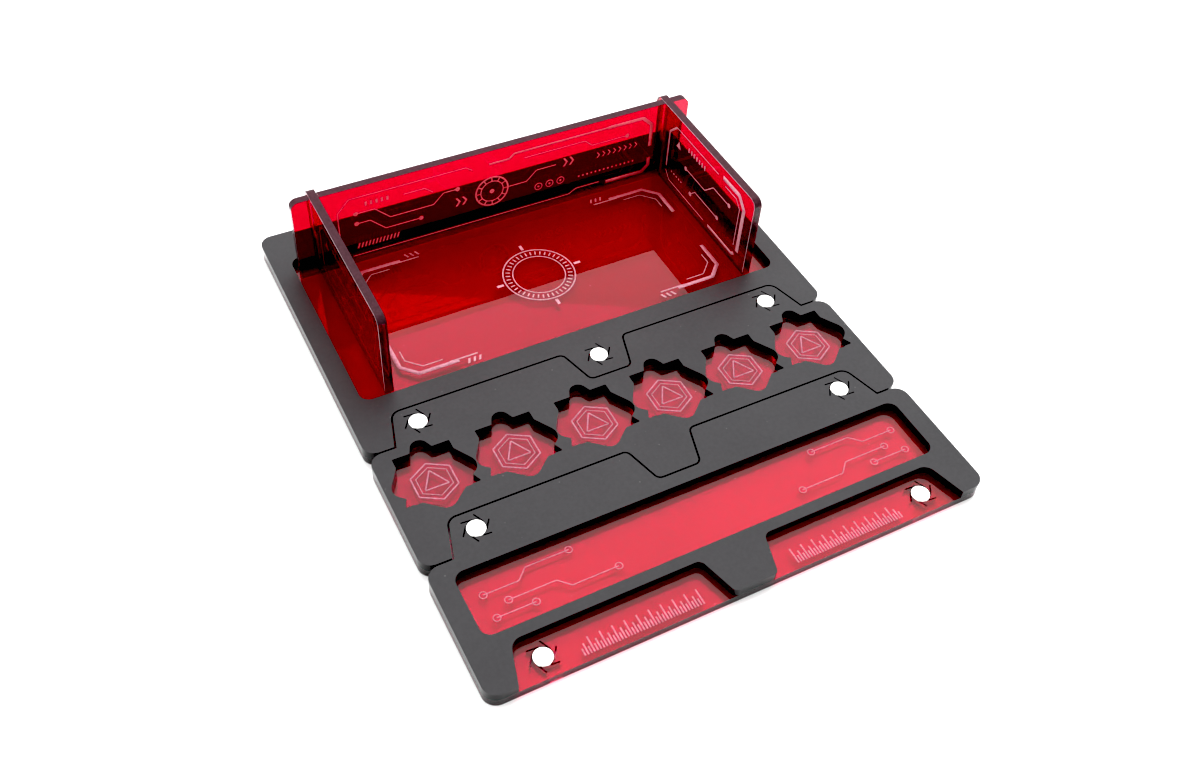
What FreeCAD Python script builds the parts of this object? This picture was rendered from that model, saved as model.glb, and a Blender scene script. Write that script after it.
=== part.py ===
import FreeCAD, Part
import os
from math import atan2, hypot, sin, sqrt, tan

# Dice tray set: three laser-cut modules that lock edge to edge, and three slotted walls.
# Sizes in millimetres, +X to the right, +Y to the back, +Z up, the set stands on Z = 0.

# Whole set
set_width = 173.0
tray_depth = 110.6
strip_depth = 46.0
sheet_thickness = 3.0
outer_corner_radius = 4.5

# Seam between two modules: two tabs of the front module lie on the ledge of the rear one
tab_depth = 13.8
tab_side_margin = 9.3
tongue_width = 14.8
tab_flank_run = 3.9
tab_outer_radius = 4.0
tab_inner_radius = 2.5
tongue_radius = 2.0
seam_gap = 0.6

# Disc magnets and the ring of spring cuts round each of their holes
magnet_diameter = 6.35
magnet_height = 2.9
magnet_chamfer = 0.2
magnet_fit = 0.02
magnet_side_margin = 20.0
tongue_magnet_setback = 8.7
spring_cut_count = 6
spring_cut_width = 0.45
spring_cut_reach = 5.0
spring_cut_start_angle = 26.0

# Windows in the top sheets
window_side_margin = 6.9
window_corner_radius = 3.5
tray_window_front_margin = 21.7
tray_window_rear_margin = 15.0
front_window_front_margin = 17.7
front_window_rear_margin = 5.2

# Dice pockets: the overlaid outlines of a square, a triangle and a pentagon, as shares of the pitch
pocket_count = 6
pocket_side_margin = 2.2
pocket_centre_share = 0.5466
square_side_share = 0.6833
square_rise_share = 0.0178
triangle_width_share = 0.8861
triangle_drop_share = 0.3132
triangle_height_share = 0.9644
triangle_tip_radius_share = 0.1068
pentagon_width_share = 1.0747
pentagon_shoulder_drop_share = 0.0783
pentagon_shoulder_radius_share = 0.1423
pentagon_top_rise_share = 0.2313
pentagon_tip_drop_share = 0.5409
pentagon_tip_radius_share = 0.1246
pocket_corner_radius = 0.3

# Slotted walls that stand in the tray window, with their distances from its edges
wall_height = 34.0
wall_thickness = 3.0
wall_corner_radius = 3.0
wall_slot_clearance = 0.3
back_wall_end_gap = 1.6
back_wall_rear_gap = 5.0
side_wall_outer_gap = 8.6
side_wall_front_gap = 2.9
side_wall_ear = 3.9

# Derived places
half_width = set_width / 2
set_depth = tray_depth + 2 * strip_depth
front_line = -set_depth / 2
holder_line = front_line + strip_depth
tray_line = holder_line + strip_depth
rear_line = set_depth / 2
top_bottom = sheet_thickness
magnet_radius = magnet_diameter / 2
magnet_x = half_width - magnet_side_margin
pocket_pitch = (set_width - 2 * pocket_side_margin) / pocket_count
pocket_room = strip_depth - tab_depth
window_side = half_width - window_side_margin
window_front = tray_line + tray_window_front_margin
window_rear = rear_line - tray_window_rear_margin
back_wall_length = 2 * (window_side - back_wall_end_gap)
back_wall_front = window_rear - back_wall_rear_gap - wall_thickness
side_wall_front = window_front + side_wall_front_gap
side_wall_length = back_wall_front + wall_thickness + side_wall_ear - side_wall_front
side_wall_middle = window_side - side_wall_outer_gap - wall_thickness / 2
slot_width = wall_thickness + wall_slot_clearance
slot_height = (wall_height + wall_slot_clearance) / 2


def arc_at_corner(before, corner, after, radius):
    """Start, middle and end of the arc that rounds one corner of an outline."""
    x, y = corner
    ax, ay = before[0] - x, before[1] - y
    bx, by = after[0] - x, after[1] - y
    a_len, b_len = hypot(ax, ay), hypot(bx, by)
    ax, ay, bx, by = ax / a_len, ay / a_len, bx / b_len, by / b_len
    half_angle = atan2(abs(ax * by - ay * bx), ax * bx + ay * by) / 2
    reach = radius / tan(half_angle)
    start = FreeCAD.Vector(x + ax * reach, y + ay * reach, 0)
    end = FreeCAD.Vector(x + bx * reach, y + by * reach, 0)
    mx, my = ax + bx, ay + by
    m_len = hypot(mx, my)
    depth = radius / sin(half_angle) - radius
    middle = FreeCAD.Vector(x + mx / m_len * depth, y + my / m_len * depth, 0)
    return start, middle, end


def outline(corners):
    """Closed face in the XY plane from (x, y, radius) corners."""
    count = len(corners)
    pieces = []
    for i in range(count):
        before, corner, after = corners[i - 1], corners[i], corners[(i + 1) % count]
        if corner[2] > 0:
            pieces.append(arc_at_corner(before[:2], corner[:2], after[:2], corner[2]))
        else:
            point = FreeCAD.Vector(corner[0], corner[1], 0)
            pieces.append((point, None, point))
    edges = []
    for i in range(count):
        start, middle, end = pieces[i]
        if middle is not None:
            edges.append(Part.Arc(start, middle, end).toShape())
        following = pieces[(i + 1) % count][0]
        edges.append(Part.LineSegment(end, following).toShape())
    return Part.Face(Part.Wire(edges))


def extruded(corners, bottom, height):
    """Sheet of one outline, from its bottom level up."""
    face = outline(corners)
    face.translate(FreeCAD.Vector(0, 0, bottom))
    return face.extrude(FreeCAD.Vector(0, 0, height))


def rectangle(left, front, right, rear, radius):
    """Rounded rectangle as corners, counter-clockwise."""
    return [(left, front, radius), (right, front, radius), (right, rear, radius), (left, rear, radius)]


def seam(line):
    """Corners of one seam from left to right: two tab recesses with a tongue between."""
    foot = half_width - tab_side_margin
    heel = tongue_width / 2
    tip = line + tab_depth
    right = [
        (heel, line, tongue_radius),
        (heel + tab_flank_run, tip, tab_inner_radius),
        (foot - tab_flank_run, tip, tab_outer_radius),
        (foot, line, 0.0),
    ]
    left = [(-x, y, radius) for x, y, radius in reversed(right)]
    return left + right


def set_back(corners, gap):
    """The same seam moved towards the front by the gap, square to each of its edges."""
    moved = []
    last = len(corners) - 1
    for i, (x, y, radius) in enumerate(corners):
        before = corners[i - 1] if i > 0 else (x - 1, y, 0)
        after = corners[i + 1] if i < last else (x + 1, y, 0)
        ax, ay = x - before[0], y - before[1]
        bx, by = after[0] - x, after[1] - y
        a_len, b_len = hypot(ax, ay), hypot(bx, by)
        side_x = ay / a_len + by / b_len
        side_y = -ax / a_len - bx / b_len
        share = 2 * gap / (side_x ** 2 + side_y ** 2)
        turns_left = ax * by - ay * bx > 0
        fitted = radius + gap if turns_left else radius - gap
        if radius == 0:
            fitted = 0.0
        moved.append((x + share * side_x, y + share * side_y, fitted))
    return moved


def top_outline(front, rear, has_tabs):
    """Outline of a top sheet, with recesses along its front and tabs along its back."""
    corner = outer_corner_radius
    front_edge = [(-half_width, front, corner)] + seam(front) + [(half_width, front, corner)]
    if not has_tabs:
        return front_edge + [(half_width, rear, corner), (-half_width, rear, corner)]
    back = rear - seam_gap
    tabs = list(reversed(set_back(seam(rear), seam_gap)))
    return front_edge + [(half_width, back, corner)] + tabs + [(-half_width, back, corner)]


def magnet_seat(x, y, bottom):
    """Hole of one magnet with its pinwheel of spring cuts, as a cutting body."""
    radius = magnet_radius + magnet_fit
    seat = Part.makeCylinder(radius, sheet_thickness, FreeCAD.Vector(0, 0, 0))
    length = sqrt(spring_cut_reach ** 2 - radius ** 2)
    cuts = []
    for i in range(spring_cut_count):
        cut = Part.makeBox(spring_cut_width, length, sheet_thickness)
        cut.translate(FreeCAD.Vector(radius - spring_cut_width / 2, 0, 0))
        angle = spring_cut_start_angle + i * 360 / spring_cut_count
        cut.rotate(FreeCAD.Vector(0, 0, 0), FreeCAD.Vector(0, 0, 1), angle)
        cuts.append(cut)
    seat = seat.fuse(cuts)
    seat.translate(FreeCAD.Vector(x, y, bottom))
    return seat


def magnet(x, y, bottom):
    """One disc magnet, flush with the top of its sheet."""
    base = bottom + sheet_thickness - magnet_height
    disc = Part.makeCylinder(magnet_radius, magnet_height, FreeCAD.Vector(x, y, base))
    rims = [edge for edge in disc.Edges if edge.isClosed()]
    return disc.makeChamfer(magnet_chamfer, rims)


def window(front, rear):
    """Corners of a rounded window between two levels of Y."""
    return rectangle(-window_side, front, window_side, rear, window_corner_radius)


def top_sheet(front, rear, has_tabs, seats):
    """Top sheet of one module with its magnet seats, before its window or pockets."""
    sheet = extruded(top_outline(front, rear, has_tabs), top_bottom, sheet_thickness)
    return sheet.cut([magnet_seat(x, y, top_bottom) for x, y in seats])


def base_sheet(front, rear, seats):
    """Bottom sheet of one module, which shows as its floor and its ledges."""
    corners = rectangle(-half_width, front, half_width, rear, outer_corner_radius)
    return extruded(corners, 0, sheet_thickness).cut([magnet_seat(x, y, 0) for x, y in seats])


def pocket_cutter(x, y):
    """Star-shaped dice pocket from three overlaid outlines."""
    half_side = square_side_share * pocket_pitch / 2
    rise = square_rise_share * pocket_pitch
    square = rectangle(-half_side, rise - half_side, half_side, rise + half_side, pocket_corner_radius)
    foot = triangle_width_share * pocket_pitch / 2
    base = -triangle_drop_share * pocket_pitch
    tip = base + triangle_height_share * pocket_pitch
    triangle = [
        (-foot, base, pocket_corner_radius),
        (foot, base, pocket_corner_radius),
        (0, tip, triangle_tip_radius_share * pocket_pitch),
    ]
    shoulder = pentagon_width_share * pocket_pitch / 2
    shoulder_y = -pentagon_shoulder_drop_share * pocket_pitch
    shoulder_radius = pentagon_shoulder_radius_share * pocket_pitch
    pentagon_top = pentagon_top_rise_share * pocket_pitch
    pentagon_tip = -pentagon_tip_drop_share * pocket_pitch
    pentagon = [
        (0, pentagon_tip, pentagon_tip_radius_share * pocket_pitch),
        (shoulder, shoulder_y, shoulder_radius),
        (half_side, pentagon_top, 0.0),
        (-half_side, pentagon_top, 0.0),
        (-shoulder, shoulder_y, shoulder_radius),
    ]
    star = extruded(square, top_bottom, sheet_thickness)
    star = star.fuse([extruded(shape, top_bottom, sheet_thickness) for shape in (triangle, pentagon)])
    star = star.removeSplitter()
    star.translate(FreeCAD.Vector(x, y, 0))
    return star


def ledge_magnets(line):
    """Places of the two magnets in the ledge behind a front line, and in the tabs above them."""
    return [(-magnet_x, line + tab_depth / 2), (magnet_x, line + tab_depth / 2)]


def wall_side(length, corner_radius):
    """Upright wall in the XY plane: square feet, rounded top corners."""
    half = length / 2
    top = wall_height
    return [(-half, 0, 0.0), (half, 0, 0.0), (half, top, corner_radius), (-half, top, corner_radius)]


def back_wall():
    """Back wall, slotted from above for the two side walls."""
    wall = extruded(wall_side(back_wall_length, wall_corner_radius), 0, wall_thickness)
    slots = []
    for side in (-1, 1):
        slot = Part.makeBox(slot_width, slot_height, wall_thickness)
        left = side * side_wall_middle - slot_width / 2
        slot.translate(FreeCAD.Vector(left, wall_height - slot_height, 0))
        slots.append(slot)
    wall = wall.cut(slots)
    wall.rotate(FreeCAD.Vector(0, 0, 0), FreeCAD.Vector(1, 0, 0), 90)
    wall.translate(FreeCAD.Vector(0, back_wall_front + wall_thickness, sheet_thickness))
    return wall


def side_wall(side):
    """Left (-1) or right (1) wall, slotted from below so that it drops over the back wall."""
    wall = extruded(wall_side(side_wall_length, wall_corner_radius), 0, wall_thickness)
    wall.translate(FreeCAD.Vector(side_wall_front + side_wall_length / 2, 0, 0))
    slot = Part.makeBox(slot_width, slot_height, wall_thickness)
    middle = back_wall_front + wall_thickness / 2
    slot.translate(FreeCAD.Vector(middle - slot_width / 2, 0, 0))
    wall = wall.cut(slot)
    wall.rotate(FreeCAD.Vector(0, 0, 0), FreeCAD.Vector(1, 0, 0), 90)
    wall.rotate(FreeCAD.Vector(0, 0, 0), FreeCAD.Vector(0, 0, 1), 90)
    left_face = side * side_wall_middle - wall_thickness / 2
    wall.translate(FreeCAD.Vector(left_face, 0, sheet_thickness))
    return wall


# Tray module
tray_ledge = ledge_magnets(tray_line)
tongue_seat = (0.0, tray_line + tongue_magnet_setback)
tray_window = window(window_front, window_rear)
tray_frame = top_sheet(tray_line, rear_line, False, [tongue_seat])
tray_frame = tray_frame.cut(extruded(tray_window, top_bottom, sheet_thickness))
tray_floor = base_sheet(tray_line, rear_line, tray_ledge)

# Dice holder module
holder_tabs = ledge_magnets(tray_line)
holder_ledge = ledge_magnets(holder_line)
pocket_y = holder_line + tab_depth + pocket_centre_share * pocket_room
holder_plate = top_sheet(holder_line, tray_line, True, holder_tabs)
for index in range(pocket_count):
    pocket_x = (index - (pocket_count - 1) / 2) * pocket_pitch
    holder_plate = holder_plate.cut(pocket_cutter(pocket_x, pocket_y))
holder_base = base_sheet(holder_line, tray_line - seam_gap, holder_ledge)

# Front tray module
front_tabs = ledge_magnets(holder_line)
front_ledge = ledge_magnets(front_line)
front_window = window(front_line + front_window_front_margin, holder_line - front_window_rear_margin)
front_frame = top_sheet(front_line, holder_line, True, front_tabs)
front_frame = front_frame.cut(extruded(front_window, top_bottom, sheet_thickness))
front_floor = base_sheet(front_line, holder_line - seam_gap, front_ledge)

nodes = {
    "tray_frame": tray_frame,
    "tray_floor": tray_floor,
    "tray_tongue_magnet": magnet(*tongue_seat, top_bottom),
    "tray_ledge_magnet_left": magnet(*tray_ledge[0], 0),
    "tray_ledge_magnet_right": magnet(*tray_ledge[1], 0),
    "holder_plate": holder_plate,
    "holder_base": holder_base,
    "holder_tab_magnet_left": magnet(*holder_tabs[0], top_bottom),
    "holder_tab_magnet_right": magnet(*holder_tabs[1], top_bottom),
    "holder_ledge_magnet_left": magnet(*holder_ledge[0], 0),
    "holder_ledge_magnet_right": magnet(*holder_ledge[1], 0),
    "front_frame": front_frame,
    "front_floor": front_floor,
    "front_tab_magnet_left": magnet(*front_tabs[0], top_bottom),
    "front_tab_magnet_right": magnet(*front_tabs[1], top_bottom),
    "front_ledge_magnet_left": magnet(*front_ledge[0], 0),
    "front_ledge_magnet_right": magnet(*front_ledge[1], 0),
    "back_wall": back_wall(),
    "left_wall": side_wall(-1),
    "right_wall": side_wall(1),
}

os.makedirs("parts", exist_ok=True)
for name, shape in nodes.items():
    if not shape.isValid():
        raise ValueError(name + " is not a valid solid")
    solid = shape.Solids[0] if len(shape.Solids) == 1 else shape
    solid.exportStep("parts/" + name + ".step")
    print(name, len(shape.Solids), round(shape.Volume, 1), shape.BoundBox)
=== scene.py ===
import math
import bmesh
import bpy
from mathutils import Matrix, Vector


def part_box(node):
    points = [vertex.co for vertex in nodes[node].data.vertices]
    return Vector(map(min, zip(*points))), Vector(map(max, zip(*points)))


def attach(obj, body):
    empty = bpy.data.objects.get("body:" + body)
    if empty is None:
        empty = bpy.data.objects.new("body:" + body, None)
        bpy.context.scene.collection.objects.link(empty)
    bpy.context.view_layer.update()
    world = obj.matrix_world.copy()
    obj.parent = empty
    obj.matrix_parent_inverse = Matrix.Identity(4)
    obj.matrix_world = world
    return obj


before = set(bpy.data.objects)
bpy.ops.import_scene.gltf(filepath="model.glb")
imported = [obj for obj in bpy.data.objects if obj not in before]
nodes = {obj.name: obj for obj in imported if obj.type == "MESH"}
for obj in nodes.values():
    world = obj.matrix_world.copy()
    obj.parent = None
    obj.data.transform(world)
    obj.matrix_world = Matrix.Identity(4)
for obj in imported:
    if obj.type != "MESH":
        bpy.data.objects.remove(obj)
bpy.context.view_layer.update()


# ---------------------------------------------------------------------------
# Camera. The set is seen from beyond its front left corner and from well
# above, nearly half a metre away, through an ordinary lens.
# ---------------------------------------------------------------------------
MM = 0.001
scene = bpy.context.scene
camera_place = Vector((-148.09, -246.47, 311.91)) * MM
camera_right = Vector((0.88455, -0.46291, 0.05734))
camera_up = Vector((0.31291, 0.68005, 0.66303))
camera_data = bpy.data.cameras.new("photo_camera")
camera_data.sensor_fit = "HORIZONTAL"
camera_data.sensor_width = 36.0
camera_data.lens = 36.995
camera_data.clip_start = 0.01
camera_data.clip_end = 20.0
camera = bpy.data.objects.new("photo_camera", camera_data)
scene.collection.objects.link(camera)
camera_back = camera_right.cross(camera_up)
camera_turn = Matrix((camera_right, camera_up, camera_back)).transposed()
camera.matrix_world = Matrix.Translation(camera_place) @ camera_turn.to_4x4()
scene.camera = camera


# ---------------------------------------------------------------------------
# Studio. A white tent over a white floor, bright behind the set and dimmer in
# front, and open at the rear left, where the room behind it is dim. One soft
# light above the rear right gives the shadows but no highlight of its own.
# ---------------------------------------------------------------------------
def add_node(tree, kind, values=None, links=None, **settings):
    """Node with its settings, plain input values and links from other sockets."""
    node = tree.nodes.new(kind)
    for key, value in settings.items():
        setattr(node, key, value)
    for key, value in (values or {}).items():
        node.inputs[key].default_value = value
    for key, source in (links or {}).items():
        tree.links.new(source, node.inputs[key])
    return node


black_level = 0.03
scene.view_settings.view_transform = "Standard"
scene.view_settings.look = "Medium High Contrast"
scene.view_settings.use_curve_mapping = True
scene.view_settings.curve_mapping.black_level = (black_level, black_level, black_level)
scene.view_settings.curve_mapping.update()

tent_strength = 2.6
opening_heading = (-0.30, 0.66, 0.69)
opening_glow = 0.1
front_glow = 0.4
tent = bpy.data.worlds.new("white_tent")
tent.use_nodes = True
tree = tent.node_tree
direction = add_node(tree, "ShaderNodeTexCoord")
from_opening = add_node(
    tree, "ShaderNodeVectorMath", operation="DISTANCE",
    values={1: opening_heading}, links={0: direction.outputs["Generated"]})
tent_cloth = add_node(
    tree, "ShaderNodeMapRange",
    values={"From Min": 0.22, "From Max": 0.45, "To Min": opening_glow, "To Max": 1.0},
    links={"Value": from_opening.outputs["Value"]})
heading = add_node(
    tree, "ShaderNodeSeparateXYZ", links={"Vector": direction.outputs["Generated"]})
tent_depth = add_node(
    tree, "ShaderNodeMapRange",
    values={"From Min": -0.25, "From Max": 0.25, "To Min": front_glow, "To Max": 1.0},
    links={"Value": heading.outputs["Y"]})
tent_glow = add_node(
    tree, "ShaderNodeMath", operation="MULTIPLY",
    links={0: tent_cloth.outputs["Result"], 1: tent_depth.outputs["Result"]})
tent_background = tree.nodes["Background"]
tent_background.inputs["Strength"].default_value = tent_strength
tree.links.new(tent_glow.outputs["Value"], tent_background.inputs["Color"])
scene.world = tent

studio_half = 3.0
studio_level = -0.1 * MM
studio_mesh = bpy.data.meshes.new("studio_floor")
studio_mesh.from_pydata(
    [(x * studio_half, y * studio_half, studio_level)
     for x, y in ((-1, -1), (1, -1), (1, 1), (-1, 1))],
    [], [(0, 1, 2, 3)])
studio_floor = bpy.data.objects.new("studio_floor", studio_mesh)
scene.collection.objects.link(studio_floor)
studio_white = bpy.data.materials.new("studio_floor_white")
studio_white.use_nodes = True
studio_shader = studio_white.node_tree.nodes["Principled BSDF"]
studio_shader.inputs["Base Color"].default_value = (0.92, 0.92, 0.92, 1.0)
studio_shader.inputs["Roughness"].default_value = 0.9
studio_shader.inputs["Specular IOR Level"].default_value = 0.0
studio_mesh.materials.append(studio_white)

soft_light_place = Vector((0.45, 0.75, 1.4))
soft_light_side = 1.1
soft_light_data = bpy.data.lights.new("soft_light", "AREA")
soft_light_data.shape = "RECTANGLE"
soft_light_data.size = soft_light_side
soft_light_data.size_y = soft_light_side
soft_light_data.energy = 27.0
soft_light = bpy.data.objects.new("soft_light", soft_light_data)
scene.collection.objects.link(soft_light)
soft_light.visible_glossy = False
towards_set = (-soft_light_place).to_track_quat("-Z", "Y")
soft_light.matrix_world = Matrix.Translation(soft_light_place) @ towards_set.to_matrix().to_4x4()


def new_group(name, inputs, outputs):
    """Shader node group with the named sockets."""
    group = bpy.data.node_groups.new(name, "ShaderNodeTree")
    for socket_name, kind, value in inputs:
        socket = group.interface.new_socket(socket_name, in_out="INPUT", socket_type=kind)
        socket.default_value = value
    for socket_name, kind in outputs:
        group.interface.new_socket(socket_name, in_out="OUTPUT", socket_type=kind)
    return group


def two_tone(tree, factor, low, high):
    """Colour that goes from one tone to another over the middle of a pattern's range."""
    ramp = add_node(tree, "ShaderNodeValToRGB", links={"Fac": factor})
    for element, position, tone in zip(ramp.color_ramp.elements, (0.3, 0.7), (low, high)):
        element.position = position
        element.color = (*tone, 1.0)
    return ramp.outputs["Color"]


# Mask of the laser-cut edges: white on them, black on the sheet's own two faces.
cut_edge = new_group(
    "laser_cut_edge",
    [("Sheet Axis", "NodeSocketVector", (0.0, 0.0, 1.0))],
    [("Edge", "NodeSocketFloat")])
inside = add_node(cut_edge, "NodeGroupInput")
outside = add_node(cut_edge, "NodeGroupOutput")
surface = add_node(cut_edge, "ShaderNodeTexCoord")
facing = add_node(cut_edge, "ShaderNodeVectorMath", operation="DOT_PRODUCT",
                  links={0: surface.outputs["Normal"], 1: inside.outputs["Sheet Axis"]})
flat = add_node(cut_edge, "ShaderNodeMath", operation="ABSOLUTE",
                links={0: facing.outputs["Value"]})
edge = add_node(cut_edge, "ShaderNodeMapRange",
                values={"From Min": 0.2, "From Max": 0.9, "To Min": 1.0, "To Max": 0.0},
                links={"Value": flat.outputs["Value"]})
cut_edge.links.new(edge.outputs["Result"], outside.inputs["Edge"])

# Handling marks: faint scuffs that change the gloss from place to place, and specks of dust.
handling = new_group(
    "handling_marks",
    [("Scale", "NodeSocketFloat", 60.0),
     ("Low", "NodeSocketFloat", 0.1),
     ("High", "NodeSocketFloat", 0.2)],
    [("Roughness", "NodeSocketFloat"), ("Dust", "NodeSocketFloat")])
inside = add_node(handling, "NodeGroupInput")
outside = add_node(handling, "NodeGroupOutput")
surface = add_node(handling, "ShaderNodeTexCoord")
scuff = add_node(handling, "ShaderNodeTexNoise", values={"Detail": 4.0, "Roughness": 0.6},
                 links={"Vector": surface.outputs["Object"], "Scale": inside.outputs["Scale"]})
spread = add_node(handling, "ShaderNodeMapRange", values={"From Min": 0.35, "From Max": 0.7},
                  links={"Value": scuff.outputs["Fac"], "To Min": inside.outputs["Low"],
                         "To Max": inside.outputs["High"]})
handling.links.new(spread.outputs["Result"], outside.inputs["Roughness"])
speck = add_node(handling, "ShaderNodeTexVoronoi", values={"Scale": 300.0},
                 links={"Vector": surface.outputs["Object"]})
speck_size = add_node(handling, "ShaderNodeMapRange",
                      values={"From Min": 0.04, "From Max": 0.08, "To Min": 1.0, "To Max": 0.0},
                      links={"Value": speck.outputs["Distance"]})
sparse = add_node(handling, "ShaderNodeMapRange", values={"From Min": 0.6, "From Max": 0.8},
                  links={"Value": speck.outputs["Color"]})
kept = add_node(handling, "ShaderNodeMath", operation="MULTIPLY",
                links={0: speck_size.outputs["Result"], 1: sparse.outputs["Result"]})
handling.links.new(kept.outputs["Value"], outside.inputs["Dust"])


black_tones = (0.039, 0.0382, 0.0398), (0.0435, 0.0425, 0.0445)
black_edge_tone = (0.012, 0.011, 0.012, 1.0)
dust_tone = (0.30, 0.29, 0.29, 1.0)


def black_sheet(name):
    """Matt black sheet with glossy cut edges and a trace of dust."""
    material = bpy.data.materials.new(name)
    material.use_nodes = True
    tree = material.node_tree
    shader = tree.nodes["Principled BSDF"]
    shader.inputs["IOR"].default_value = 1.28
    marks = add_node(tree, "ShaderNodeGroup", node_tree=handling,
                     values={"Scale": 45.0, "Low": 0.38, "High": 0.50})
    edges = add_node(tree, "ShaderNodeGroup", node_tree=cut_edge)
    gloss = add_node(tree, "ShaderNodeMix", data_type="FLOAT", values={"B": 0.07},
                     links={"Factor": edges.outputs["Edge"], "A": marks.outputs["Roughness"]})
    tree.links.new(gloss.outputs["Result"], shader.inputs["Roughness"])
    surface = add_node(tree, "ShaderNodeTexCoord")
    mottle = add_node(tree, "ShaderNodeTexNoise", values={"Scale": 900.0, "Detail": 3.0},
                      links={"Vector": surface.outputs["Object"]})
    shade = two_tone(tree, mottle.outputs["Fac"], *black_tones)
    edge_colour = add_node(tree, "ShaderNodeMix", data_type="RGBA",
                           values={"B": black_edge_tone},
                           links={"Factor": edges.outputs["Edge"], "A": shade})
    dust_share = add_node(tree, "ShaderNodeMath", operation="MULTIPLY", values={1: 0.25},
                          links={0: marks.outputs["Dust"]})
    dusty = add_node(tree, "ShaderNodeMix", data_type="RGBA", values={"B": dust_tone},
                     links={"Factor": dust_share.outputs["Value"],
                            "A": edge_colour.outputs["Result"]})
    tree.links.new(dusty.outputs["Result"], shader.inputs["Base Color"])
    grain = add_node(tree, "ShaderNodeTexNoise", values={"Scale": 2600.0, "Detail": 2.0},
                     links={"Vector": surface.outputs["Object"]})
    bump = add_node(tree, "ShaderNodeBump", values={"Strength": 0.12, "Distance": 0.0001},
                    links={"Height": grain.outputs["Fac"]})
    tree.links.new(bump.outputs["Normal"], shader.inputs["Normal"])
    return material


for node_name in ("tray_frame", "holder_plate", "front_frame"):
    nodes[node_name].data.materials.clear()
    nodes[node_name].data.materials.append(black_sheet(node_name + "_black_acrylic"))


# ---------------------------------------------------------------------------
# Disc magnets, pressed into their holes in the sheets. Bright nickel plate,
# with a fine grain from the barrel that they were plated in.
# ---------------------------------------------------------------------------
nickel = bpy.data.materials.new("nickel_plate")
nickel.use_nodes = True
tree = nickel.node_tree
shader = tree.nodes["Principled BSDF"]
shader.inputs["Metallic"].default_value = 1.0
surface = add_node(tree, "ShaderNodeTexCoord")
plate_grain = add_node(tree, "ShaderNodeTexNoise", values={"Scale": 700.0, "Detail": 3.0},
                       links={"Vector": surface.outputs["Object"]})
plate_tone = two_tone(tree, plate_grain.outputs["Fac"], (0.80, 0.79, 0.77), (0.93, 0.92, 0.91))
tree.links.new(plate_tone, shader.inputs["Base Color"])
plate_gloss = add_node(tree, "ShaderNodeMapRange", values={"To Min": 0.16, "To Max": 0.30},
                       links={"Value": plate_grain.outputs["Fac"]})
tree.links.new(plate_gloss.outputs["Result"], shader.inputs["Roughness"])
for node_name, node_object in nodes.items():
    if "magnet" in node_name:
        node_object.data.materials.clear()
        node_object.data.materials.append(nickel)


# ---------------------------------------------------------------------------
# Red bottom sheets: the floors of the tray, of the pockets and of the front
# well. Clear red acrylic, 3 mm, lying on the white table that shines through
# it. The front module's sheet is a little lighter than the other two.
# ---------------------------------------------------------------------------
acrylic_index = 1.49


def clear_red(name, sheet_axis, tint, edge_tint, lamp_tint,
              index=acrylic_index, mirror_lean=0.0):
    """Clear red sheet that tints what lies behind it, with rough cut edges and some dust."""
    material = bpy.data.materials.new(name)
    material.use_nodes = True
    tree = material.node_tree
    shader = tree.nodes["Principled BSDF"]
    shader.inputs["IOR"].default_value = index
    shader.inputs["Transmission Weight"].default_value = 1.0
    marks = add_node(tree, "ShaderNodeGroup", node_tree=handling,
                     values={"Scale": 30.0, "Low": 0.0, "High": 0.015})
    edges = add_node(tree, "ShaderNodeGroup", node_tree=cut_edge,
                     values={"Sheet Axis": sheet_axis})
    dusty = add_node(tree, "ShaderNodeMix", data_type="FLOAT", values={"B": 0.4},
                     links={"Factor": marks.outputs["Dust"], "A": marks.outputs["Roughness"]})
    gloss = add_node(tree, "ShaderNodeMix", data_type="FLOAT", values={"B": 0.22},
                     links={"Factor": edges.outputs["Edge"], "A": dusty.outputs["Result"]})
    tree.links.new(gloss.outputs["Result"], shader.inputs["Roughness"])
    surface = add_node(tree, "ShaderNodeTexCoord")
    cloud = add_node(tree, "ShaderNodeTexNoise", values={"Scale": 12.0, "Detail": 1.0},
                     links={"Vector": surface.outputs["Object"]})
    depth = two_tone(tree, cloud.outputs["Fac"], [0.96 * part for part in tint],
                     [1.04 * part for part in tint])
    edge_colour = add_node(tree, "ShaderNodeMix", data_type="RGBA",
                           values={"B": (*edge_tint, 1.0)},
                           links={"Factor": edges.outputs["Edge"], "A": depth})
    tree.links.new(edge_colour.outputs["Result"], shader.inputs["Base Color"])
    if mirror_lean:
        face = add_node(tree, "ShaderNodeNewGeometry")
        parts = add_node(tree, "ShaderNodeSeparateXYZ", links={"Vector": face.outputs["Normal"]})
        slope = add_node(tree, "ShaderNodeMath", operation="MULTIPLY", values={1: mirror_lean},
                         links={0: parts.outputs["Z"]})
        shift = add_node(tree, "ShaderNodeCombineXYZ", links={"Y": slope.outputs["Value"]})
        leaning = add_node(tree, "ShaderNodeVectorMath", operation="ADD",
                           links={0: face.outputs["Normal"], 1: shift.outputs["Vector"]})
        unit = add_node(tree, "ShaderNodeVectorMath", operation="NORMALIZE",
                        links={0: leaning.outputs["Vector"]})
        tree.links.new(unit.outputs["Vector"], shader.inputs["Normal"])
    # Light from the lamp passes the sheet in straight lines, tinted on its way.
    lamp_ray = add_node(tree, "ShaderNodeLightPath")
    tinted = add_node(tree, "ShaderNodeBsdfTransparent", values={"Color": (*lamp_tint, 1.0)})
    joined = add_node(tree, "ShaderNodeMixShader", links={
        0: lamp_ray.outputs["Is Shadow Ray"], 1: shader.outputs["BSDF"],
        2: tinted.outputs["BSDF"]})
    sheet_output = tree.nodes["Material Output"]
    tree.links.new(joined.outputs["Shader"], sheet_output.inputs["Surface"])
    return material


floor_axis = (0.0, 0.0, 1.0)
floor_edge_tint = (0.20, 0.02, 0.04)

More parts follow.
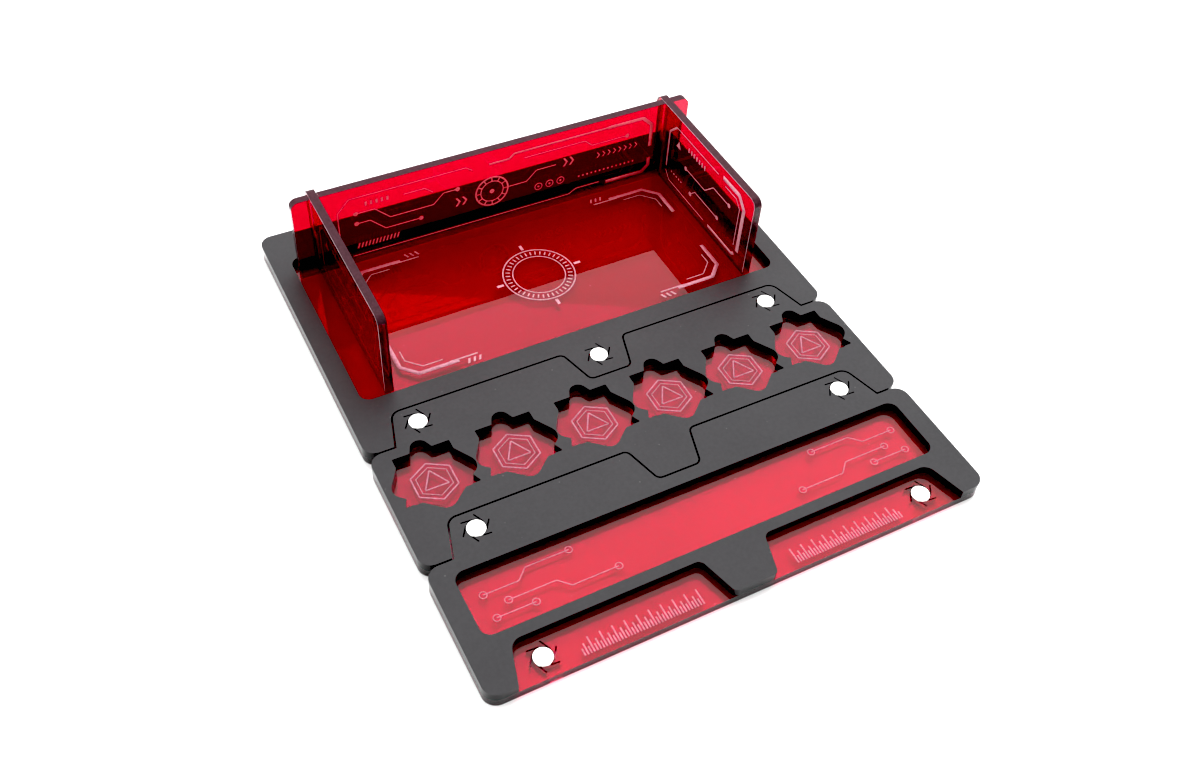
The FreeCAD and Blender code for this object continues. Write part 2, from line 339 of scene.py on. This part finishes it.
# The tray's sheet mirrors the walls as if it leaned a little towards the rear.
for node_name, tint, lamp_tint, index, mirror_lean in (
        ("tray_floor", (0.385, 0.0002, 0.048), (0.59, 0.02, 0.18), 1.42, 0.045),
        ("holder_base", (0.38, 0.0003, 0.052), (0.53, 0.02, 0.20), acrylic_index, 0.0),
        ("front_floor", (0.475, 0.0003, 0.058), (0.58, 0.02, 0.21), acrylic_index, 0.0)):
    nodes[node_name].data.materials.clear()
    nodes[node_name].data.materials.append(clear_red(
        node_name + "_red_acrylic", floor_axis, tint, floor_edge_tint, lamp_tint, index,
        mirror_lean))


# ---------------------------------------------------------------------------
# Engraving on the red floors. The laser frosts the surface in fine pale lines:
# brackets and a ticked ring in the tray, hexagons in every pocket, traces with
# pads in the front well and rules of short bars on the front ledges.
# ---------------------------------------------------------------------------
line_height = 0.03 * MM
line_sink = 0.08 * MM
fine_line = 0.45 * MM
broad_line = 1.5 * MM

# Each pass of the laser lies a hair above the last, so that crossing marks share no face.
pass_step = 0.003 * MM
pass_levels = 16

engraved_tones = (0.31, 0.125, 0.165), (0.48, 0.25, 0.30)
faint_tones = (0.080, 0.012, 0.018), (0.15, 0.026, 0.038)


def frosted(name, low, high, shine):
    """Laser-frosted acrylic: a pale pink, rough bloom with a fine speckle."""
    material = bpy.data.materials.new(name)
    material.use_nodes = True
    tree = material.node_tree
    shader = tree.nodes["Principled BSDF"]
    shader.inputs["IOR"].default_value = acrylic_index
    shader.inputs["Specular IOR Level"].default_value = shine
    surface = add_node(tree, "ShaderNodeTexCoord")
    bloom = add_node(tree, "ShaderNodeTexNoise", values={"Scale": 1500.0, "Detail": 3.0},
                     links={"Vector": surface.outputs["Object"]})
    tree.links.new(two_tone(tree, bloom.outputs["Fac"], low, high), shader.inputs["Base Color"])
    roughness = add_node(tree, "ShaderNodeMapRange", values={"To Min": 0.5, "To Max": 0.75},
                         links={"Value": bloom.outputs["Fac"]})
    tree.links.new(roughness.outputs["Result"], shader.inputs["Roughness"])
    bump = add_node(tree, "ShaderNodeBump", values={"Strength": 0.2, "Distance": 0.00005},
                    links={"Height": bloom.outputs["Fac"]})
    tree.links.new(bump.outputs["Normal"], shader.inputs["Normal"])
    return material


def rule_tree(name, inputs):
    """Empty geometry tree: a shape comes in with named sizes, and a finished mesh goes out."""
    tree = bpy.data.node_groups.new(name, "GeometryNodeTree")
    tree.interface.new_socket("Geometry", in_out="INPUT", socket_type="NodeSocketGeometry")
    for socket_name, kind in inputs + [("Finish", "NodeSocketMaterial")]:
        tree.interface.new_socket(socket_name, in_out="INPUT", socket_type=kind)
    tree.interface.new_socket("Geometry", in_out="OUTPUT", socket_type="NodeSocketGeometry")
    return tree, add_node(tree, "NodeGroupInput")


def close_tree(tree, sizes, made):
    """Last nodes of a rule: everything real, and in its finish."""
    real = add_node(tree, "GeometryNodeRealizeInstances", links={"Geometry": made})
    finished = add_node(tree, "GeometryNodeSetMaterial",
                        links={"Geometry": real.outputs["Geometry"],
                               "Material": sizes.outputs["Finish"]})
    add_node(tree, "NodeGroupOutput", links={"Geometry": finished.outputs["Geometry"]})


# Rule for a line: a ribbon of even width along a path, with its corners rounded.
line_rule, sizes = rule_tree(
    "engraved_line",
    [("Line Width", "NodeSocketFloat"),
     ("Line Height", "NodeSocketFloat"),
     ("Corner Radius", "NodeSocketFloat")])
path = add_node(line_rule, "GeometryNodeMeshToCurve",
                links={"Mesh": sizes.outputs["Geometry"]})
rounded = add_node(line_rule, "GeometryNodeFilletCurve", mode="POLY",
                   values={"Count": 3, "Limit Radius": True},
                   links={"Curve": path.outputs["Curve"],
                          "Radius": sizes.outputs["Corner Radius"]})
level = add_node(line_rule, "GeometryNodeSetCurveNormal", mode="Z_UP",
                 links={"Curve": rounded.outputs["Curve"]})
section = add_node(line_rule, "GeometryNodeCurvePrimitiveQuadrilateral",
                   links={"Width": sizes.outputs["Line Width"],
                          "Height": sizes.outputs["Line Height"]})
ribbon = add_node(line_rule, "GeometryNodeCurveToMesh", values={"Fill Caps": True},
                  links={"Curve": level.outputs["Curve"],
                         "Profile Curve": section.outputs["Curve"]})
close_tree(line_rule, sizes, ribbon.outputs["Mesh"])

# Rule for a row: the same mark again and again, one step apart.
row_rule, sizes = rule_tree(
    "engraved_row",
    [("Count", "NodeSocketInt"), ("Step", "NodeSocketVector")])
places = add_node(row_rule, "GeometryNodeMeshLine",
                  links={"Count": sizes.outputs["Count"], "Offset": sizes.outputs["Step"]})
row = add_node(row_rule, "GeometryNodeInstanceOnPoints",
               links={"Points": places.outputs["Mesh"], "Instance": sizes.outputs["Geometry"]})
close_tree(row_rule, sizes, row.outputs["Instances"])

# Rule for a dial: the same mark round a circle, each turned outwards.
dial_rule, sizes = rule_tree(
    "engraved_dial",
    [("Count", "NodeSocketInt"), ("Dial Radius", "NodeSocketFloat")])
places = add_node(dial_rule, "GeometryNodeMeshCircle",
                  links={"Vertices": sizes.outputs["Count"],
                         "Radius": sizes.outputs["Dial Radius"]})
from_middle = add_node(dial_rule, "GeometryNodeInputPosition")
outward = add_node(dial_rule, "FunctionNodeAlignRotationToVector", axis="X",
                   links={"Vector": from_middle.outputs["Position"]})
dial = add_node(dial_rule, "GeometryNodeInstanceOnPoints",
                links={"Points": places.outputs["Mesh"],
                       "Instance": sizes.outputs["Geometry"],
                       "Rotation": outward.outputs["Rotation"]})
close_tree(dial_rule, sizes, dial.outputs["Instances"])


def run_rule(rule, seed, values):
    """Plain mesh that a rule makes from a seed shape and its sizes."""
    carrier = bpy.data.objects.new("rule_seed", seed)
    scene.collection.objects.link(carrier)
    modifier = carrier.modifiers.new("rule", "NODES")
    modifier.node_group = rule
    for socket in rule.interface.items_tree:
        if socket.in_out == "INPUT" and socket.name in values:
            modifier[socket.identifier] = values[socket.name]
    evaluated = carrier.evaluated_get(bpy.context.evaluated_depsgraph_get())
    result = bpy.data.meshes.new_from_object(evaluated)
    bpy.data.objects.remove(carrier)
    return result


class Engraving:
    """Marks cut into one face of a sheet, drawn flat in millimetres and then laid on it."""

    def __init__(self, name, tones=engraved_tones):
        self.name = name
        self.finish = (frosted(name + "_deep", *tones, shine=0.5),
                       frosted(name + "_faint", *faint_tones, shine=0.2))
        self.marks = bmesh.new()
        self.passes = 0

    def add(self, mesh, at, faint):
        """Mesh of one pass, set in its place with the deep or the faint finish."""
        self.passes = (self.passes + 1) % pass_levels
        mesh.transform(Matrix.Translation((at[0] * MM, at[1] * MM, self.passes * pass_step)))
        for face in mesh.polygons:
            face.material_index = int(faint)
        self.marks.from_mesh(mesh)

    def line(self, points, width=fine_line, corner=0.8, closed=False, faint=False):
        """Line of even width through the points."""
        seed = bpy.data.meshes.new("path")
        middle = (line_height - line_sink) / 2
        edges = [(i, i + 1) for i in range(len(points) - 1)]
        if closed:
            edges.append((len(points) - 1, 0))
        seed.from_pydata([(x * MM, y * MM, middle) for x, y in points], edges, [])
        self.add(run_rule(line_rule, seed, {
            "Line Width": width,
            "Line Height": line_height + line_sink,
            "Corner Radius": corner * MM,
            "Finish": self.finish[0]}), (0.0, 0.0), faint)

    def mark(self, outline):
        """One flat mark with a straight-sided outline, as a seed for a row or a dial."""
        seed = bpy.data.meshes.new("mark")
        count = len(outline)
        foot = [(x * MM, y * MM, -line_sink) for x, y in outline]
        head = [(x * MM, y * MM, line_height) for x, y in outline]
        lids = [tuple(reversed(range(count))), tuple(range(count, 2 * count))]
        sides = [(i, (i + 1) % count, count + (i + 1) % count, count + i)
                 for i in range(count)]
        seed.from_pydata(foot + head, [], lids + sides)
        return seed

    def row(self, outline, start, count=1, step=(0.0, 0.0), faint=False):
        """The same mark again and again, or once."""
        self.add(run_rule(row_rule, self.mark(outline), {
            "Count": count,
            "Step": (step[0] * MM, step[1] * MM, 0.0),
            "Finish": self.finish[0]}), start, faint)

    def dial(self, outline, centre, count, radius):
        """The same mark round a circle."""
        self.add(run_rule(dial_rule, self.mark(outline), {
            "Count": count,
            "Dial Radius": radius * MM,
            "Finish": self.finish[0]}), centre, False)

    def ring(self, centre, radius, width=fine_line, sides=40):
        """Closed line round a circle."""
        self.line([(centre[0] + x, centre[1] + y) for x, y in regular(sides, radius)],
                  width, 0.0, True)

    def lay(self, body, slot, origin, along, up):
        """Finished piece on the face through origin, in the directions along and up."""
        out = Vector(along).cross(Vector(up))
        turn = Matrix((Vector(along), Vector(up), out)).transposed().to_4x4()
        bmesh.ops.recalc_face_normals(self.marks, faces=self.marks.faces[:])
        mesh = bpy.data.meshes.new(self.name)
        self.marks.to_mesh(mesh)
        self.marks.free()
        mesh.transform(Matrix.Translation(Vector(origin)) @ turn)
        mesh.materials.clear()
        for finish in self.finish:
            mesh.materials.append(finish)
        piece = bpy.data.objects.new(self.name, mesh)
        scene.collection.objects.link(piece)
        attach(piece, body)


def regular(sides, radius, first=0.0):
    """Outline of a dot or a many-sided mark."""
    return [(radius * math.cos(math.tau * i / sides + first),
             radius * math.sin(math.tau * i / sides + first)) for i in range(sides)]


def bar(width, height, lean=0.0):
    """Outline of a short bar, upright or leaning."""
    return [(-width / 2 - lean / 2, -height / 2), (width / 2 - lean / 2, -height / 2),
            (width / 2 + lean / 2, height / 2), (-width / 2 + lean / 2, height / 2)]


def chevron(width, height, stroke):
    """Outline of an arrowhead that points to the right."""
    return [(-width / 2, -height / 2), (-width / 2 + stroke, -height / 2),
            (width / 2, 0.0), (-width / 2 + stroke, height / 2),
            (-width / 2, height / 2), (width / 2 - stroke, 0.0)]


floor_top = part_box("tray_floor")[1][2]
floor_face = (0.0, 0.0, floor_top), (1, 0, 0), (0, 1, 0)

# Tray: a bracket in every corner and a ticked ring in the middle.
tray_middle = 46.0
tray_marks = Engraving("tray_floor_engraving")
for side in (-1, 1):
    for end in (-1, 1):
        def at(x, y):
            return (side * x, tray_middle + end * y)
        tray_marks.line([at(43.0, 27.0), at(57.5, 27.0), at(62.5, 22.0), at(62.5, 10.5)],
                        broad_line, 0.4)
        tray_marks.line([at(36.0, 26.4), at(46.0, 26.4)], 0.6 * MM)
        tray_marks.line([at(48.0, 24.4), at(55.2, 24.4), at(59.9, 19.7), at(59.9, 15.0)])
        tray_marks.row(bar(0.8, 2.0, 0.9 * side * end), at(40.0, 28.6), 3, (-2.0 * side, 0.0))
tray_marks.ring((0.0, tray_middle), 13.2, 0.55 * MM)
tray_marks.ring((0.0, tray_middle), 9.6)
tray_marks.dial(bar(1.7, 0.5), (0.0, tray_middle), 40, 11.4)
tray_marks.dial(bar(2.6, 1.1), (0.0, tray_middle), 4, 15.4)
tray_marks.lay("tray", "tray_floor", *floor_face)

# Pockets: two hexagons and a triangle in each.
pocket_count = 6
pocket_pitch = 28.1
pocket_row = -24.9
pocket_marks = Engraving(
    "pocket_floor_engraving", ((0.265, 0.080, 0.12), (0.41, 0.165, 0.225)))
for count in range(pocket_count):
    middle = (count - (pocket_count - 1) / 2) * pocket_pitch
    for sides, radius, first, width, corner in (
            (6, 7.6, math.tau / 12, 0.5, 0.3),
            (6, 5.9, math.tau / 12, 0.3, 0.2),
            (3, 4.6, math.tau / 4, 0.5, 0.2)):
        pocket_marks.line(
            [(middle + x, pocket_row + y) for x, y in regular(sides, radius, first)],
            width * MM, corner, True)
pocket_marks.lay("dice_holder", "holder_base", *floor_face)

# Front: traces with pads in the well, and a rule of bars on each ledge.
trace_width = 0.42
pad_radius = 1.15
pad_line = 0.35
rule_start = 16.6
rule_line = -99.4
rule_bar = 0.52
front_marks = Engraving("front_floor_engraving", ((0.30, 0.068, 0.105), (0.45, 0.135, 0.185)))
for side in (-1, 1):
    for run in ([(73.5, -69.0), (62.0, -69.0), (58.5, -65.5), (44.0, -65.5)],
                [(67.5, -73.6), (52.0, -73.6), (48.5, -77.1), (33.0, -77.1)],
                [(73.0, -77.6), (60.5, -77.6)]):
        front_marks.line([(side * x, y) for x, y in run], trace_width * MM)
        for x, y in (run[0], run[-1]):
            front_marks.ring((side * x, y), pad_radius, pad_line * MM, 16)
    for length, first, count, step in (
            (5.4, 0.0, 10, 4.0), (3.8, 2.0, 10, 4.0), (2.4, 1.0, 20, 2.0)):
        front_marks.row(bar(rule_bar, length),
                        (side * (rule_start + first), rule_line + length / 2),
                        count, (side * step, 0.0))
front_marks.lay("front_tray", "front_floor", *floor_face)


# ---------------------------------------------------------------------------
# Back wall. Clear red acrylic, 3 mm, standing across the tray and slotted for
# the side walls. Its inner face is engraved with a frame, traces and marks.
# ---------------------------------------------------------------------------
wall_edge_tint = (0.30, 0.12, 0.16)
wall_lamp_tint = (0.72, 0.10, 0.16)
# Opaque grey-purple skin for the upward cut edges: partly frosting, partly a painted sheen of
# the light from above.
frosted_top_edge_and_sheen = frosted(
    "frosted_cut_edge_and_painted_sheen", (0.032, 0.012, 0.016), (0.064, 0.028, 0.036), shine=0.2)

# The frosted skin lies on every cut face that looks upwards, hardly proud of it. It is the cut's
# frosting and a painted sheen in one: only the cut faces that look up get its opaque
# grey-purple, for the light from above that falls on them.
upward_from = 0.3
skin_depth = 0.04 * MM
skin_proud = 0.01 * MM
same_point = 0.001 * MM


def finish_wall(node_name, sheet_axis, wall_tint):
    """Clear red finish for one wall, with the frosted skin of its upward cut edges: frosting and
    painted sheen.
    """
    nodes[node_name].data.materials.clear()
    nodes[node_name].data.materials.append(clear_red(
        node_name + "_red_acrylic", sheet_axis, wall_tint, wall_edge_tint, wall_lamp_tint))
    sheet = bmesh.new()
    sheet.from_mesh(nodes[node_name].data)
    bmesh.ops.remove_doubles(sheet, verts=sheet.verts[:], dist=same_point)
    sheet.normal_update()
    skin = bmesh.new()
    low, high = {}, {}
    for face in sheet.faces:
        if face.normal.z < upward_from:
            continue
        for corner in face.verts:
            if corner not in low:
                upward = [other.normal for other in corner.link_faces
                          if other.normal.z >= upward_from]
                out = sum(upward, Vector()).normalized()
                low[corner] = skin.verts.new(corner.co - out * skin_depth)
                high[corner] = skin.verts.new(corner.co + out * skin_proud)
        skin.faces.new([high[corner] for corner in face.verts])
        skin.faces.new([low[corner] for corner in reversed(face.verts)])
    for rim in sheet.edges:
        upward = [face for face in rim.link_faces if face.normal.z >= upward_from]
        if len(upward) == 1:
            first, last = rim.verts
            skin.faces.new([low[first], low[last], high[last], high[first]])
    bmesh.ops.recalc_face_normals(skin, faces=skin.faces[:])
    mesh = bpy.data.meshes.new(node_name + "_frosted_top_edge_painted_sheen")
    skin.to_mesh(mesh)
    skin.free()
    sheet.free()
    mesh.materials.append(frosted_top_edge_and_sheen)
    piece = bpy.data.objects.new(node_name + "_frosted_top_edge_painted_sheen", mesh)
    scene.collection.objects.link(piece)
    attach(piece, node_name)


finish_wall("back_wall", (0.0, 1.0, 0.0), (0.375, 0.0001, 0.027))
# Its deep marks are a bright red, brighter than the side walls' frosting: the frosting's own
# colour plus painted light, for the light that shines through the red wall from behind.
back_marks = Engraving("back_wall_engraving", ((0.70, 0.10, 0.14), (0.86, 0.20, 0.24)))

# Its frame, fine on the left and below, and broad at the right-hand corners.
frame_line = 0.9
frame_corner = 0.5
back_marks.line([(-62.5, 8.0), (-62.5, 27.5), (-58.0, 32.5), (-14.0, 32.5), (-11.5, 30.5)],
                faint=True)
back_marks.line([(-5.0, 31.2), (3.0, 31.2), (5.0, 33.0), (43.5, 33.0)],
                frame_line * MM, frame_corner)
back_marks.line([(43.5, 33.0), (58.5, 33.0), (62.5, 29.0), (62.5, 19.0)],
                broad_line, frame_corner)
back_marks.line([(9.0, 29.8), (34.0, 29.8), (37.0, 27.0), (52.0, 27.0)], faint=True)
back_marks.line([(-58.5, 6.6), (28.0, 6.6), (31.0, 8.4), (41.0, 8.4)], faint=True)
back_marks.line([(44.0, 7.4), (60.0, 7.4), (62.5, 9.9), (62.5, 13.5)],
                broad_line, frame_corner)

# Traces, with a dot at their ends, and rows of leaning and upright bars.
end_dot = regular(14, 0.95)
back_marks.line([(-56.0, 25.5), (-49.0, 25.5), (-43.5, 20.0), (-27.0, 20.0),
                 (-23.0, 24.0), (-17.5, 24.0)], faint=True)
back_marks.line([(-56.0, 21.0), (-51.0, 21.0), (-45.5, 15.5), (-32.0, 15.5)], faint=True)
back_marks.line([(-38.0, 28.4), (-30.0, 28.4), (-27.0, 25.8)], faint=True)
for place in ((-56.0, 25.5), (-17.5, 24.0), (-56.0, 21.0), (-32.0, 15.5), (52.0, 27.0)):
    back_marks.row(end_dot, place)
back_marks.row(bar(0.65, 2.2, 0.7), (-56.0, 10.8), 12, (1.35, 0.0))
back_marks.row(bar(0.9, 1.9), (-52.0, 28.9), 5, (2.0, 0.0), True)

# A ticked target in the middle, with a trace to the right and arrowheads on both sides.
target = (-4.0, 18.6)
broad_arrow = chevron(2.2, 3.8, 0.9)
back_marks.ring(target, 6.4, 0.7 * MM)
back_marks.ring(target, 4.5)
back_marks.row(regular(14, 1.0), target)
back_marks.dial(bar(1.6, 0.5), target, 12, 5.4)
back_marks.line([(2.6, 18.6), (10.0, 18.6), (14.0, 22.6), (22.0, 22.6)], faint=True)
back_marks.row(broad_arrow, (-17.5, 18.0), 2, (2.6, 0.0))
back_marks.row(broad_arrow, (26.0, 22.6), 2, (2.6, 0.0))
back_marks.row(chevron(1.5, 2.4, 0.6), (40.0, 21.6), 8, (2.3, 0.0))

# Three small rings with dots, and a dotted line.
ring_row = 14.6
for place in (15.0, 19.6, 24.2):
    back_marks.ring((place, ring_row), 1.5, 0.4 * MM, 16)
    back_marks.row(regular(10, 0.5), (place, ring_row))
line_dot = regular(8, 0.45)
back_marks.row(line_dot, (32.0, 14.0), 14, (1.8, 0.0), True)
inner_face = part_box("back_wall")[0][1]
back_marks.lay("back_wall", "back_wall", (0.0, inner_face, 0.0), (1, 0, 0), (0, 0, 1))


# ---------------------------------------------------------------------------
# Side walls. Clear red acrylic, 3 mm, slotted half-way so that they drop over
# the back wall. Each is engraved on its inner face with a frame and a trace.
# ---------------------------------------------------------------------------
def side_wall(node_name, inner_face, rear_side, wall_tint):
    """Finish and engraving of one side wall, drawn from its front end to its rear."""
    finish_wall(node_name, (1.0, 0.0, 0.0), wall_tint)
    marks = Engraving(node_name + "_engraving", ((0.44, 0.19, 0.23), (0.66, 0.36, 0.40)))

    def at(y, z):
        return (rear_side * y, z)
    marks.line([at(21.0, 9.5), at(21.0, 29.0), at(25.0, 33.0), at(36.0, 33.0)],
               1.9 * MM, frame_corner)
    marks.line([at(23.6, 11.0), at(23.6, 27.6), at(26.4, 30.4), at(34.0, 30.4)], faint=True)
    marks.line([at(39.0, 32.2), at(69.0, 32.2)], faint=True)
    marks.line([at(69.0, 32.2), at(73.5, 27.7), at(73.5, 11.5)], frame_line * MM)
    marks.line([at(73.5, 9.5), at(70.5, 6.5), at(44.0, 6.5)], faint=True)
    marks.line([at(22.5, 7.6), at(24.0, 6.4), at(41.0, 6.4)], 1.3 * MM)
    marks.line([at(30.0, 24.5), at(41.0, 24.5), at(46.0, 19.5), at(60.0, 19.5)], faint=True)
    marks.line([at(36.0, 14.0), at(52.0, 14.0), at(55.0, 11.0)], faint=True)
    for place in (at(30.0, 24.5), at(60.0, 19.5), at(36.0, 14.0), at(55.0, 11.0)):
        marks.row(end_dot, place)
    marks.row(regular(3, 1.9, math.tau / 4), at(66.5, 25.5))
    marks.row(bar(0.8, 2.0), at(48.0, 28.4), 7, (rear_side * 1.9, 0.0), True)
    marks.row(line_dot, at(62.0, 11.5), 5, (rear_side * 1.8, 0.0))
    marks.lay(node_name, node_name, (inner_face, 0.0, 0.0), (0, rear_side, 0), (0, 0, 1))


side_wall("left_wall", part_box("left_wall")[1][0], 1, (0.46, 0.0001, 0.030))
side_wall("right_wall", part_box("right_wall")[0][0], -1, (0.38, 0.0001, 0.028))

# Painted highlight: a pale line along one rim of each side wall, where the cut edge catches the
# light. It runs along the top, round the front corner and down.
painted_highlight_tones = (0.42, 0.33, 0.36), (0.62, 0.54, 0.56)
painted_highlight_width = 0.24
painted_highlight_inset = 0.14
for node_name in ("left_wall", "right_wall"):
    low, high = (Vector(corner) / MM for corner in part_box(node_name))
    top = high.z - painted_highlight_inset
    front = -low.y - painted_highlight_inset
    rim_highlight = Engraving(node_name + "_painted_rim_highlight", painted_highlight_tones)
    rim_highlight.line([(-high.y + 3.0, top), (-low.y - 3.0, top), (-low.y - 0.9, high.z - 1.0),
               (front, high.z - 3.0), (front, low.z + 1.0)], painted_highlight_width * MM, 0.6)
    rim_highlight.lay(node_name, node_name, (low.x * MM, 0.0, 0.0), (0, -1, 0), (0, 0, 1))
